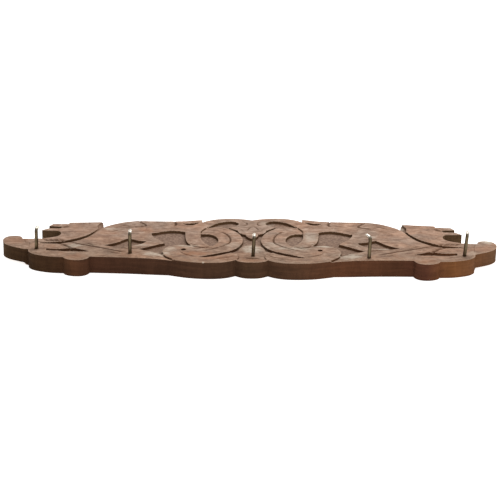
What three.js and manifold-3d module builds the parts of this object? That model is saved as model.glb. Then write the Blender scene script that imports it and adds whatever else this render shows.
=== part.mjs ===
// A carved wooden wall rack with five square-bend brass hooks, lying on its back.
// Millimetres. +X runs along the rack, +Y towards the edge that is uppermost on the wall, +Z out of the
// carved front. The origin is the centre of the flat back.
// Each outline is given for the right half, from the mirror line at x = AXIS. The left half is its mirror
// image, carved a little smaller.
import * as THREE from "three";
import { mergeVertices } from "three/addons/utils/BufferGeometryUtils.js";
import Module from "manifold-3d";

const wasm = await Module();
wasm.setup();

// Board
const THICKNESS = 22;
const RELIEF = 3.6; // depth of the carved ground below the front
const CURVE_STEP = 5; // length of a straight piece of a curved outline
const END = { start: 271.2, thinning: 3.5 }; // the end lobes are thinned from behind
const AXIS = 1.6; // x of the mirror line
const LEFT = { from: -70, shrink: 0.03, drop: 1, settle: 60, outset: 1.6 }; // how the left half differs
const EYE = { x: 84, y: -31.5, radius: 2.8, depth: 3.6 };
const GAP = 0.3; // clearance between a piece and its seat in the wood

// Hooks: a wire with a square bend, and a screw thread that is inside the board. A hook's height is from the
// board's front to the middle of the upturned arm, which is lower the further the hook is screwed in.
const WIRE_RADIUS = 2.1;
const ARM_LENGTH = 9.5; // from the middle of the stem to the arm's end
const BEND_RADIUS = 3.5;
const WIRE_SIDES = 10;
const WIRE_STEPS = 18;
const SHANK_LENGTH = 3; // plain wire below the board's front, above the thread
const STEM_HEIGHT = 26;
const THREAD = { length: 12, root: 1.5, crest: 2.05, point: 0.5, pitch: 2.4, taper: 5 };
const THREAD_SIDES = 8;
const STEPS_PER_PITCH = 3;
const HOOKS = [
  { x: -257.3, y: -37, height: 24.5, lean: 0.5, turn: -6 },
  { x: -144.3, y: -47.5, height: 25.6, lean: 0, turn: 0 },
  { x: 3, y: -51, height: 24.2, lean: 2.5, turn: 0 },
  { x: 141.8, y: -52, height: 26.2, lean: 1.5, turn: 32 },
  { x: 257, y: -42, height: 27.5, lean: 4, turn: -5 },
];

// Keyhole hanger plates, let in flush at the back
const PLATE = { spacing: 300, y: 22, length: 46, width: 16, thickness: 2 };
const KEYHOLE = { entryRadius: 4.5, slotWidth: 4.6, slotLength: 12, headRoom: 8, headWidth: 10 };
const SCREW = { y: 18, head: 3.4, shank: 1.3, crest: 1.65, length: 12, headDepth: 1.6, pitch: 1.8 };

const WOOD = new THREE.MeshStandardMaterial({ color: 0x8a6a55, roughness: 0.7, metalness: 0 });
const BRASS = new THREE.MeshStandardMaterial({ color: 0x9c8f5c, roughness: 0.35, metalness: 1 });
const STEEL = new THREE.MeshStandardMaterial({ color: 0x8f9092, roughness: 0.4, metalness: 1 });

// ---- outlines -------------------------------------------------------------------------------------
// An outline is a list of stretches. A stretch of two points is straight, and a longer one is a smooth
// curve through its points. Each stretch starts where the one before it ends.

// The rack's edge, from the notch at the top centre round the right-hand end to the bottom centre
const EDGE = [
  [[1.6, 63.5], [9.6, 67], [21.6, 69.8], [34.6, 70.8], [47.6, 68.8], [57.6, 64.3], [63.6, 59.3]], // neck loop
  [[63.6, 59.3], [64.1, 67.5]], // tip of the upper leaf
  [[64.1, 67.5], [71.6, 66], [81.6, 63.5], [98.6, 61.5], [121.6, 61], [143.9, 61.5]],
  [[143.9, 61.5], [151.6, 59.5], [161.6, 56], [171.6, 50], [180.6, 43], [185.1, 38.5]], // back of the beast
  [[185.1, 38.5], [187.1, 56]], // cut end of the wing
  [[187.1, 56], [206.6, 54], [228.6, 52.5]],
  [[228.6, 52.5], [229.6, 48]],
  [[229.6, 48], [248.6, 47]], // first feather
  [[248.6, 47], [253.1, 40]],
  [[253.1, 40], [237.1, 38]],
  [[237.1, 38], [238.6, 32.5]],
  [[238.6, 32.5], [253.6, 32]], // second feather
  [[253.6, 32], [260.6, 25.5]],
  [[260.6, 25.5], [239.6, 24]],
  [[239.6, 24], [236.1, 17.5], [237.6, 9.5], [244.6, 3.5], [257.6, -1.5]],
  [[257.6, -1.5], [276.3, -3]],
  [[276.3, -3], [277.3, 2], [281.3, 5.5], [288.3, 6.2], [295.3, 3.5], [299.3, -4], [298.8, -13.5],
    [294.3, -21.5], [286.3, -28], [270.6, -36]], // end lobe
  [[270.6, -36], [269.1, -44], [262.6, -51], [252.6, -55.5], [240.6, -58.5],
    [226.6, -59.5]], // outer hook lobe
  [[226.6, -59.5], [223.6, -64], [217.6, -67.2], [210.1, -68.3], [202.6, -66.8], [197.6, -62.5],
    [195.1, -57]],
  [[195.1, -57], [170.6, -57.5], [145.8, -58.5], [121.6, -60.3], [100.6, -61.5]],
  [[100.6, -61.5], [90.6, -65], [76.6, -69], [59.6, -71], [43.6, -70.7], [30.6, -67.5],
    [21.1, -62]], // head lobe
  [[21.1, -62], [14.6, -66.3], [8.6, -68.6], [1.6, -69.2]], // shell
];

// The ground inside the neck loop and between the two necks, from the palmette's tip
const LOOP_GROUND = [
  [[1.6, 3], [5.6, 6.5], [8.6, 11.5], [9.1, 16.5]],
  [[9.1, 16.5], [12.6, 17.5], [17.1, 21.5]],
  [[17.1, 21.5], [18.6, 25.5], [19.1, 29.5]],
  [[19.1, 29.5], [24.1, 33.5], [30.1, 39]],
  [[30.1, 39], [23.1, 43.5], [18.6, 49]],
  [[18.6, 49], [18.6, 53.5], [22.6, 57.8], [28.6, 60], [36.6, 58.5], [44.6, 54.5], [51.6, 48],
    [57.6, 40]],
  [[57.6, 40], [49.1, 42.3], [41.1, 41], [32.6, 36.5], [24.6, 29.5], [18.1, 20], [14.2, 9],
    [12.8, -1], [13.4, -10], [16.1, -19.2], [20.4, -27.3], [26.6, -33.2], [32.1, -37], [39.6, -41.2],
    [47.6, -45.3], [56.6, -49.6], [66.2, -54.5]],
  [[66.2, -54.5], [58.6, -54.7], [50.6, -53], [41.6, -49], [32.6, -44.2], [26.1, -39.8],
    [21.1, -37], [18, -35.5]],
  [[18, -35.5], [16.1, -28], [12.6, -21.8], [7.6, -17.8], [1.6, -16.5]],
];
const RING_GROUND = [
  [[64.1, 21], [55.1, 19.3], [48.1, 13.8], [43.9, 6], [42.6, -3], [44.2, -10.5], [47.6, -16],
    [51.6, -19]],
  [[51.6, -19], [56.1, -14.5], [60.6, -6.5], [63.4, 2], [64.6, 11], [64.1, 21]],
];
const BODY_GROUND = [
  [[83.6, 24.5], [89.6, 27.2], [99.6, 28.7], [109.6, 26.2], [117.6, 22.8], [125.1, 20.7]],
  [[125.1, 20.7], [124.1, 13.5], [120.6, 5.5], [114.6, -2], [107.6, -12]],
  [[107.6, -12], [115.6, -17], [122.6, -21.8], [130, -27], [138.1, -32]],
  [[138.1, -32], [129.5, -36.5], [118.6, -41], [107.2, -47.5]],
  [[107.2, -47.5], [109.1, -39], [107.8, -31], [103.6, -23.8], [96.6, -19], [87.6, -17], [75.1, -18]],
  [[75.1, -18], [80.1, -8.5], [82.4, 2], [83.3, 13], [83.6, 24.5]],
];
const HIP_GROUND = [
  [[181.1, -21], [173.1, -17.5], [163.6, -10.5], [157.6, -3.5], [152.6, 1.8]],
  [[152.6, 1.8], [146.8, -1.2], [140, -4.8], [130, -6.8]],
  [[130, -6.8], [133, -12.5], [138.6, -17.8], [145.8, -22]],
  [[145.8, -22], [154.6, -25.5], [166.6, -26.5], [181.1, -21]],
];
const WING_GROUND = [
  [[258.6, -15.8], [246.6, -14], [237.1, -12], [229.6, -9], [221.6, -4.5], [213.6, 1], [206.6, 7],
    [201.1, 14.5], [196.1, 22.5], [192.1, 31]],
  [[192.1, 31], [193.1, 43]],
  [[193.1, 43], [187.6, 58]],
  [[187.6, 58], [183.1, 58]],
  [[183.1, 58], [184.1, 39.5]],
  [[184.1, 39.5], [189.1, 29.5], [193.6, 19.5], [198.1, 10.5], [203.6, 2.5], [211.6, -5.8],
    [220.6, -12.2], [230.6, -16.8], [240.6, -18.6], [258.6, -17.6]],
  [[258.6, -17.6], [258.6, -15.8]],
];
const TAIL_GROUND = [
  [[249.1, -34.5], [236.6, -35.3], [226.6, -34], [219.6, -31]],
  [[219.6, -31], [213.1, -32.5], [205.6, -36.3], [196.1, -41]],
  [[196.1, -41], [206.6, -42.3], [222.6, -42.8], [240.6, -42], [248.6, -39.8]],
  [[248.6, -39.8], [249.1, -34.5]],
];
const TIP_GROUND = [
  [[67.1, 58], [73.1, 55.6], [80.6, 53.6], [88.6, 53.6]],
  [[88.6, 53.6], [81.6, 48.4], [73.6, 49.8], [67.1, 58]],
];

function stretchPoints(stretch) {
  const points = stretch.map(([x, y]) => new THREE.Vector2(x, y));
  if (points.length === 2) return points;
  const curve = new THREE.SplineCurve(points);
  return curve.getSpacedPoints(Math.max(2, Math.round(curve.getLength() / CURVE_STEP)));
}

// The points of a chain of stretches, each corner once, without the chain's last point
function chain(stretches) {
  return stretches.flatMap((stretch) => stretchPoints(stretch).slice(0, -1));
}

// The mirror image of a chain, as the left half is carved. Its end lobe sticks out further.
function mirrored(points) {
  const left = points.map(({ x, y }) => {
    const share = Math.min(1, x / LEFT.settle);
    const mirroredX = x > END.start ? -x - LEFT.outset : 2 * AXIS - x;
    return new THREE.Vector2(mirroredX, y - share * (LEFT.drop + LEFT.shrink * (y - LEFT.from)));
  });
  return left.reverse();
}

// A closed outline that crosses the centre line: the right half and the left half
function bothHalves(stretches) {
  const last = stretches.at(-1).at(-1);
  const right = [...chain(stretches), new THREE.Vector2(...last)];
  return [...right, ...mirrored(right.slice(1, -1))];
}

// ---- solids ---------------------------------------------------------------------------------------

function solidOf(geometry) {
  geometry.deleteAttribute("normal");
  geometry.deleteAttribute("uv");
  const merged = mergeVertices(geometry, 1e-4);
  return new wasm.Manifold(
    new wasm.Mesh({
      numProp: 3,
      vertProperties: merged.attributes.position.array,
      triVerts: new Uint32Array(merged.index.array),
    }),
  );
}

function geometryOf(solid) {
  const { vertProperties, triVerts } = solid.getMesh();
  const geometry = new THREE.BufferGeometry();
  geometry.setAttribute("position", new THREE.BufferAttribute(vertProperties, 3));
  geometry.setIndex(new THREE.BufferAttribute(triVerts, 1));
  return geometry;
}

// A prism on a closed outline, between two heights
function prism(points, low, high) {
  const geometry = new THREE.ExtrudeGeometry(new THREE.Shape(points), {
    depth: high - low,
    bevelEnabled: false,
  });
  return solidOf(geometry.translate(0, 0, low));
}

// A round rod or cone along Z, from low to high
function rod(radiusLow, radiusHigh, low, high, sides, x = 0, y = 0) {
  const geometry = new THREE.CylinderGeometry(radiusHigh, radiusLow, high - low, sides);
  return solidOf(geometry.rotateX(Math.PI / 2).translate(x, y, (low + high) / 2));
}

// A screw thread along Z from z = 0 down to a point: a rod whose radius follows a helix
function thread({ length, root, crest, point, pitch, taper }) {
  const steps = Math.round((length / pitch) * STEPS_PER_PITCH);
  const geometry = new THREE.CylinderGeometry(1, 1, length, THREAD_SIDES, steps);
  geometry.rotateX(Math.PI / 2).translate(0, 0, -length / 2);
  const position = geometry.attributes.position;
  for (let i = 0; i < position.count; i++) {
    const [x, y, z] = [position.getX(i), position.getY(i), position.getZ(i)];
    const reach = Math.hypot(x, y);
    if (reach < 0.5) continue; // the middle of an end face
    const turns = z / pitch - Math.atan2(y, x) / (2 * Math.PI);
    const wave = 1 - 2 * Math.abs(turns - Math.floor(turns) - 0.5); // 0 at the root, 1 at the crest
    const full = Math.min(1, (z + length) / taper); // 0 at the point
    const radius = point + (root + (crest - root) * wave - point) * full;
    position.setXY(i, (x / reach) * radius, (y / reach) * radius);
  }
  return solidOf(geometry);
}

// ---- the carved board -----------------------------------------------------------------------------

function hookHoles() {
  const radius = WIRE_RADIUS + GAP;
  return HOOKS.map(({ x, y, height, lean }) =>
    rod(radius, radius, -SHANK_LENGTH - THREAD.length - GAP, 4, 12)
      .rotate(0, lean, 0)
      .translate(x, y, THICKNESS + height - STEM_HEIGHT),
  );
}

// A bar with round ends along Y, as an outline
function roundBar(width, length, x, y) {
  const shape = new THREE.Shape();
  const radius = width / 2;
  const reach = length / 2 - radius;
  shape.absarc(x, y + reach, radius, 0, Math.PI);
  shape.absarc(x, y - reach, radius, Math.PI, 2 * Math.PI);
  return shape.getPoints(8);
}

// The seat of one hanger plate: a shallow mortise, room for the wall screw's head, and two screw holes
function plateSeat(x) {
  const mortise = roundBar(PLATE.width + 2 * GAP, PLATE.length + 2 * GAP, x, PLATE.y);
  const room = roundBar(KEYHOLE.headWidth, KEYHOLE.slotLength + KEYHOLE.headWidth, x, PLATE.y);
  const deep = PLATE.thickness + GAP;
  const hole = SCREW.crest + GAP;
  const holes = [-1, 1].map((side) =>
    rod(hole, hole, -1, SCREW.length + 2 * GAP, THREAD_SIDES, x, PLATE.y + side * SCREW.y),
  );
  return [prism(mortise, -1, deep), prism(room, -1, deep + KEYHOLE.headRoom), ...holes];
}

// The space behind one end lobe
function endCut(side) {
  const [width, breadth] = [60, 200];
  const geometry = new THREE.BoxGeometry(width, breadth, 2 * END.thinning);
  return solidOf(geometry.translate(side * (END.start + width / 2), 0, 0));
}

function carvedBoard() {
  const ground = [bothHalves(LOOP_GROUND)];
  for (const outline of [RING_GROUND, BODY_GROUND, HIP_GROUND, WING_GROUND, TAIL_GROUND, TIP_GROUND]) {
    const points = chain(outline);
    ground.push(points, mirrored(points));
  }
  const cuts = ground.map((points) => prism(points, THICKNESS - RELIEF, THICKNESS + 1));
  for (const side of [-1, 1]) {
    const [eye] = side > 0 ? [EYE] : mirrored([EYE]);
    cuts.push(rod(EYE.radius, EYE.radius, THICKNESS - EYE.depth, THICKNESS + 1, 12, eye.x, eye.y));
    cuts.push(...plateSeat((side * PLATE.spacing) / 2));
    cuts.push(endCut(side));
  }
  cuts.push(...hookHoles());
  return cuts.reduce((board, cut) => board.subtract(cut), prism(bothHalves(EDGE), 0, THICKNESS));
}

// ---- hooks ----------------------------------------------------------------------------------------

// The wire above the board: up the stem, round the bend, and along +Y to the arm's end
function wirePath() {
  const path = new THREE.CurvePath();
  const bendStart = new THREE.Vector3(0, 0, STEM_HEIGHT - BEND_RADIUS);
  const corner = new THREE.Vector3(0, 0, STEM_HEIGHT);
  const bendEnd = new THREE.Vector3(0, BEND_RADIUS, STEM_HEIGHT);
  path.add(new THREE.LineCurve3(new THREE.Vector3(0, 0, -SHANK_LENGTH), bendStart));
  path.add(new THREE.QuadraticBezierCurve3(bendStart, corner, bendEnd));
  path.add(new THREE.LineCurve3(bendEnd, new THREE.Vector3(0, ARM_LENGTH - WIRE_RADIUS, STEM_HEIGHT)));
  return path;
}

function hookSolid() {
  const section = new THREE.Shape(
    Array.from({ length: WIRE_SIDES }, (_, i) => {
      const angle = (2 * Math.PI * i) / WIRE_SIDES;
      return new THREE.Vector2(WIRE_RADIUS * Math.cos(angle), WIRE_RADIUS * Math.sin(angle));
    }),
  );
  const extrusion = { steps: WIRE_STEPS, bevelEnabled: false, extrudePath: wirePath() };
  const wire = solidOf(new THREE.ExtrudeGeometry(section, extrusion));
  const tip = solidOf(
    new THREE.SphereGeometry(WIRE_RADIUS, WIRE_SIDES, 6)
      .rotateY(Math.PI / WIRE_SIDES)
      .translate(0, ARM_LENGTH - WIRE_RADIUS, STEM_HEIGHT),
  );
  return wire.add(tip).add(thread(THREAD).translate(0, 0, -SHANK_LENGTH));
}

// ---- hanger plates and their screws ---------------------------------------------------------------

function plateSolid() {
  const { thickness } = PLATE;
  const slotEnd = KEYHOLE.slotLength / 2;
  let plate = prism(roundBar(PLATE.width, PLATE.length, 0, 0), 0, thickness);
  plate = plate.subtract(rod(KEYHOLE.entryRadius, KEYHOLE.entryRadius, -1, thickness + 1, 20, 0, -slotEnd));
  const slot = roundBar(KEYHOLE.slotWidth, KEYHOLE.slotLength + KEYHOLE.slotWidth, 0, 0);
  plate = plate.subtract(prism(slot, -1, thickness + 1));
  for (const side of [-1, 1]) {
    const y = side * SCREW.y;
    const waist = SCREW.crest + GAP;
    plate = plate.subtract(rod(waist, waist, -1, thickness + 1, 16, 0, y));
    plate = plate.subtract(
      rod(SCREW.head + GAP, waist, -0.01, SCREW.headDepth + GAP, 16, 0, y),
    );
  }
  return plate;
}

// A countersunk screw that points up into the board, its head at z = 0
function screwSolid() {
  const { head, shank, crest, length, headDepth, pitch } = SCREW;
  const shankThread = thread({ length: length - headDepth, root: shank, crest, point: 0.4, pitch, taper: 4 });
  const slot = solidOf(new THREE.BoxGeometry(2 * head + 1, 0.9, 1.2));
  return rod(head, crest, 0.1, headDepth + 0.1, 16)
    .add(shankThread.rotate(180, 0, 0).translate(0, 0, headDepth))
    .subtract(slot);
}

// ---- assembly -------------------------------------------------------------------------------------

const rack = new THREE.Group();

function place(name, solid, material, parent = rack) {
  const mesh = new THREE.Mesh(geometryOf(solid), material);
  mesh.name = name;
  parent.add(mesh);
  return mesh;
}

place("carved_board", carvedBoard(), WOOD);

const hook = hookSolid();
HOOKS.forEach(({ x, y, height, lean, turn }, i) => {
  const mesh = place(`hook_${i + 1}`, hook, BRASS);
  mesh.position.set(x, y, THICKNESS + height - STEM_HEIGHT);
  mesh.rotation.set(0, THREE.MathUtils.degToRad(lean), THREE.MathUtils.degToRad(turn));
});

for (const [name, side] of [["left", -1], ["right", 1]]) {
  const hanger = new THREE.Group();
  hanger.position.set((side * PLATE.spacing) / 2, PLATE.y, 0);
  rack.add(hanger);
  place(`hanger_plate_${name}`, plateSolid(), STEEL, hanger);
  place(`hanger_screw_${name}_upper`, screwSolid(), STEEL, hanger).position.y = SCREW.y;
  place(`hanger_screw_${name}_lower`, screwSolid(), STEEL, hanger).position.y = -SCREW.y;
}

export default rack;
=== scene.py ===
"""Looks of the carved wall rack: the fine surface of the carving, the bent-wire hooks, the hanger hardware,
their materials, a pale floor, soft light and the camera.

The outlines repeat those of the CAD part, in millimetres, on the right half, from the mirror line at
x = AXIS. The left half is carved a little smaller. Everything else is in metres.
"""

import math

import bmesh
import bpy
import numpy as np
from mathutils import Matrix, Vector, noise
from mathutils.geometry import delaunay_2d_cdt


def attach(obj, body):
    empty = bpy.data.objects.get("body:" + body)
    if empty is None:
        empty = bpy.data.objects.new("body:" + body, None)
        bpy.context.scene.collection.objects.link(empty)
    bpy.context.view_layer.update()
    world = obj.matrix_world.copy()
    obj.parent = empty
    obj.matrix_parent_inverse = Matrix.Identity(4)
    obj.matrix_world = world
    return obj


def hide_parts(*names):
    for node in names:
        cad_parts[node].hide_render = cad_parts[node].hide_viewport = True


MM = 0.001

# Board, millimetres
THICKNESS = 22.0
RELIEF = 3.6
WALL_RUN = 0.4  # how far a carved wall leans over its height
END_START = 271.2  # the end lobes beyond this are thinned from behind
END_THINNING = 3.5
AXIS = 1.6  # x of the mirror line
LEFT_FROM = -70.0  # the left half shrinks towards this y
LEFT_SHRINK = 0.03
LEFT_DROP = 1.0  # and lies this much lower
LEFT_SETTLE = 60.0  # both come in over this length from the middle
LEFT_OUTSET = 1.6  # how much further out the left end lobe reaches
EYE = (84.0, -31.5)
EYE_RADIUS = 2.8
EYE_DEPTH = 3.4

# Hooks, millimetres and degrees
WIRE_RADIUS = 2.1
ARM_LENGTH = 9.5
BEND_RADIUS = 3.5
STEM_HEIGHT = 26.0  # of the hook as modelled; each one is sunk or raised to its own height
SHANK_LENGTH = 3.0
THREAD_LENGTH = 12.0
THREAD_ROOT = 1.5
THREAD_CREST = 2.05
THREAD_PITCH = 2.4
THREAD_TAPER = 5.0  # length over which the thread grows from the point
HOOKS = {
    "hook_1": {"x": -257.3, "y": -37.0, "height": 24.5, "lean": 0.5, "turn": -6.0},
    "hook_2": {"x": -144.3, "y": -47.5, "height": 25.6, "lean": 0.0, "turn": 0.0},
    "hook_3": {"x": 3.0, "y": -51.0, "height": 24.2, "lean": 2.5, "turn": 0.0},
    "hook_4": {"x": 141.8, "y": -52.0, "height": 26.2, "lean": 1.5, "turn": 32.0},
    "hook_5": {"x": 257.0, "y": -42.0, "height": 27.5, "lean": 4.0, "turn": -5.0},
}

# Seats of the hanger plates in the back, millimetres
PLATE_X = 150.0
PLATE_Y = 22.0
MORTISE = (16.6, 46.6, 2.3)  # width, length, depth
HEAD_ROOM = (10.0, 22.0, 10.3)  # for the wall screw's head: width, length, depth from the back
SCREW_SPREAD = 18.0
SCREW_HOLE = (1.95, 12.6)  # radius, depth

# The board's outline. Each row is a smooth stretch, from a corner up to the first point of the next row.
# The last row is the end on the mirror line.
EDGE = [
    [[1.6, 63.5], [9.6, 67], [21.6, 69.8], [34.6, 70.8], [47.6, 68.8], [57.6, 64.3]],  # neck loop
    [[63.6, 59.3]],  # tip of the upper leaf
    [[64.1, 67.5], [71.6, 66], [81.6, 63.5], [98.6, 61.5], [121.6, 61]],
    [[143.9, 61.5], [151.6, 59.5], [161.6, 56], [171.6, 50], [180.6, 43]],  # back of the beast
    [[185.1, 38.5]],  # cut end of the wing
    [[187.1, 56], [206.6, 54]],
    [[228.6, 52.5]],
    [[229.6, 48]],  # first feather
    [[248.6, 47]],
    [[253.1, 40]],
    [[237.1, 38]],
    [[238.6, 32.5]],  # second feather
    [[253.6, 32]],
    [[260.6, 25.5]],
    [[239.6, 24], [236.1, 17.5], [237.6, 9.5], [244.6, 3.5]],
    [[257.6, -1.5]],
    # end lobe
    [[276.3, -3], [277.3, 2], [281.3, 5.5], [288.3, 6.2], [295.3, 3.5], [299.3, -4], [298.8, -13.5],
     [294.3, -21.5], [286.3, -28]],
    [[270.6, -36], [269.1, -44], [262.6, -51], [252.6, -55.5], [240.6, -58.5]],  # outer hook lobe
    [[226.6, -59.5], [223.6, -64], [217.6, -67.2], [210.1, -68.3], [202.6, -66.8], [197.6, -62.5]],
    [[195.1, -57], [170.6, -57.5], [145.8, -58.5], [121.6, -60.3]],
    # head lobe
    [[100.6, -61.5], [90.6, -65], [76.6, -69], [59.6, -71], [43.6, -70.7], [30.6, -67.5]],
    [[21.1, -62], [14.6, -66.3], [8.6, -68.6]],  # shell
    [[1.6, -69.2]],
]

# The carved grounds, in the same way. This one runs inside the neck loop and between the two necks.
LOOP_GROUND = [
    [[1.6, 3], [5.6, 6.5], [8.6, 11.5]],
    [[9.1, 16.5], [12.6, 17.5]],
    [[17.1, 21.5], [18.6, 25.5]],
    [[19.1, 29.5], [24.1, 33.5]],
    [[30.1, 39], [23.1, 43.5]],
    [[18.6, 49], [18.6, 53.5], [22.6, 57.8], [28.6, 60], [36.6, 58.5], [44.6, 54.5], [51.6, 48]],
    [[57.6, 40], [49.1, 42.3], [41.1, 41], [32.6, 36.5], [24.6, 29.5], [18.1, 20], [14.2, 9],
     [12.8, -1], [13.4, -10], [16.1, -19.2], [20.4, -27.3], [26.6, -33.2], [32.1, -37],
     [39.6, -41.2], [47.6, -45.3], [56.6, -49.6]],
    [[66.2, -54.5], [58.6, -54.7], [50.6, -53], [41.6, -49], [32.6, -44.2], [26.1, -39.8],
     [21.1, -37]],
    [[18, -35.5], [16.1, -28], [12.6, -21.8], [7.6, -17.8]],
    [[1.6, -16.5]],
]
# The others lie on one side and close on their first point. Inside the curl of the crescent:
RING_GROUND = [
    [[64.1, 21], [55.1, 19.3], [48.1, 13.8], [43.9, 6], [42.6, -3], [44.2, -10.5], [47.6, -16]],
    [[51.6, -19], [56.1, -14.5], [60.6, -6.5], [63.4, 2], [64.6, 11]],
]
# Between the neck, the head and the body:
BODY_GROUND = [
    [[83.6, 24.5], [89.6, 27.2], [99.6, 28.7], [109.6, 26.2], [117.6, 22.8]],
    [[125.1, 20.7], [124.1, 13.5], [120.6, 5.5], [114.6, -2]],
    [[107.6, -12], [115.6, -17], [122.6, -21.8], [130, -27]],
    [[138.1, -32], [129.5, -36.5], [118.6, -41]],
    [[107.2, -47.5], [109.1, -39], [107.8, -31], [103.6, -23.8], [96.6, -19], [87.6, -17]],
    [[75.1, -18], [80.1, -8.5], [82.4, 2], [83.3, 13]],
]
# Between the hip and the lower band:
HIP_GROUND = [
    [[181.1, -21], [173.1, -17.5], [163.6, -10.5], [157.6, -3.5]],
    [[152.6, 1.8], [146.8, -1.2], [140, -4.8]],
    [[130, -6.8], [133, -12.5], [138.6, -17.8]],
    [[145.8, -22], [154.6, -25.5], [166.6, -26.5]],
]
# Between the wing and the beast's back:
WING_GROUND = [
    [[258.6, -15.8], [246.6, -14], [237.1, -12], [229.6, -9], [221.6, -4.5], [213.6, 1], [206.6, 7],
     [201.1, 14.5], [196.1, 22.5]],
    [[192.1, 31]],
    [[193.1, 43]],
    [[187.6, 58]],
    [[183.1, 58]],
    [[184.1, 39.5], [189.1, 29.5], [193.6, 19.5], [198.1, 10.5], [203.6, 2.5], [211.6, -5.8],
     [220.6, -12.2], [230.6, -16.8], [240.6, -18.6]],
    [[258.6, -17.6]],
]
# Above the outer hook lobe:
TAIL_GROUND = [
    [[249.1, -34.5], [236.6, -35.3], [226.6, -34]],
    [[219.6, -31], [213.1, -32.5], [205.6, -36.3]],
    [[196.1, -41], [206.6, -42.3], [222.6, -42.8], [240.6, -42]],
    [[248.6, -39.8]],
]
# Under the tip of the upper leaf:
TIP_GROUND = [
    [[67.1, 58], [73.1, 55.6], [80.6, 53.6]],
    [[88.6, 53.6], [81.6, 48.4], [73.6, 49.8]],
]

# Incised lines, on both halves: points on the right half, width and greatest depth
GROOVES = [
    ([[98.6, 62.5], [98.1, 57], [96.1, 50], [99.6, 43]], 3.8, 2.2),  # back of the shoulder
    ([[142, 61], [141, 56], [136.5, 50.5], [133.4, 45], [140.1, 40.5], [151.6, 38.5]], 3.2, 1.8),  # curl
    ([[104, 45.5], [112, 45], [121, 43.5]], 2.4, 1.0),
    ([[106, 57], [115, 57.5], [125, 56.5]], 2.2, 1.0),
    ([[150.6, 45.5], [160.6, 43], [171.6, 37]], 2.6, 1.2),
    ([[155.6, 32], [166.6, 28], [177.6, 20]], 2.2, 0.9),
    ([[152, 52], [162, 49], [171, 43.5]], 1.8, 0.7),
    ([[224.6, -12.5], [217.1, -15.5], [209, -19.5], [200.6, -23], [188.6, -28], [176.6, -33],
      [165.6, -38], [154.6, -42.5]], 3.2, 2.0),  # band from the wing to the lower edge
    ([[205.6, -14.5], [198.6, -18.5], [190.6, -22]], 2.8, 1.6),
    ([[165, -29], [155, -29.6], [146, -31], [138.1, -32]], 2.6, 1.5),
    ([[174.6, -41], [168.6, -44.5], [160.6, -46.5]], 2.4, 1.1),
    ([[235.6, -17.5], [228.6, -22.5], [222.6, -28.5], [216.6, -34]], 4.4, 2.4),  # root of the wing
    ([[43, 25.5], [37.2, 22.5], [31.6, 15], [28.3, 4], [28, -5.5], [30.4, -12.5], [37, -19.7],
      [44.6, -25.7], [52.6, -30.5], [61.6, -34]], 3.0, 1.6),  # line along the crescent
    ([[51.6, -19], [58.6, -23.5], [67.6, -27], [77.6, -28]], 1.8, 0.7),
    ([[79.6, -8], [74.6, -14], [66.6, -19.5]], 2.0, 0.9),
    ([[88.6, -37.5], [84.1, -44], [76.6, -49.5], [66.6, -53.5]], 2.4, 1.1),  # mouth
    ([[73, -37], [66, -39.5], [58, -39.5]], 2.0, 0.7),
    ([[47.6, -60.5], [36.6, -58], [27.6, -54], [20.6, -47.5]], 2.2, 1.0),  # tail under the heads
    ([[40, -64], [31, -61.5], [25, -58.5]], 1.6, 0.6),
    ([[13.6, 58.5], [8.4, 53], [8.8, 47], [13.6, 43]], 2.6, 1.2),  # palmette
    ([[19, 35], [14.5, 31], [12, 25.5]], 1.8, 0.8),
    ([[25, 40.5], [19, 41.5], [14.5, 38.5]], 1.8, 0.7),
    ([[240, 35], [234.6, 35.6], [230.2, 38], [226.4, 43.5]], 4.6, 2.8),  # between the feathers
    ([[160, 38], [154, 39.5], [148, 40]], 3.0, 1.6),
    ([[208, 16.5], [203, 15.5]], 2.6, 1.0),
    ([[206.6, 52.5], [203.6, 48.5], [199, 47]], 2.4, 1.0),
    ([[277.6, -2.5], [272.6, -10], [270.8, -20], [270.4, -33]], 1.6, 0.5),  # end lobe
]
# The same between the mirror images
CENTRE_GROOVES = [
    ([[-7.4, -54], [-2.9, -57.6], [3.1, -58.6], [8.9, -57.4], [13.1, -54]], 3.2, 1.7),
    ([[2.6, 42], [-2.9, 34], [-4.4, 26.5]], 2.4, 1.2),
    ([[2.6, 42], [8.1, 35], [9.6, 28]], 2.4, 1.2),
]
# Short cuts across the lowest feather: their first x, spacing, number, and how each one runs
TICK_START = 233.0
TICK_SPACING = 6.5
TICK_COUNT = 4
TICK_RUN = [[4.5, -3.0], [0.0, -7.0], [-6.0, -10.5]]
TICK_WIDTH = 4.4
TICK_DEPTH = 2.6

# Where one band passes under another: a line with the lower band on its left, and how far that is lowered
OVERLAPS = [
    ([[65, 21], [63.4, 30], [57.8, 40]], 1.5),  # the crescent under the neck
    ([[107.4, -46.5], [105.6, -52], [101.6, -56.8], [95, -62.6]], 2.2),  # the lower band under the head
    ([[75.2, -18], [66, -22.5], [57, -23.5], [51.8, -19.4]], 0.9),
    ([[19.8, -62.4], [17.2, -54], [19.6, -45], [27, -40.6]], 1.1),  # the tail under the shell
    ([[125.4, 21], [131, 30], [133, 38]], 0.8),  # the neck under the shoulder
]
OVERLAP_REACH = 7.0

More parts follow.
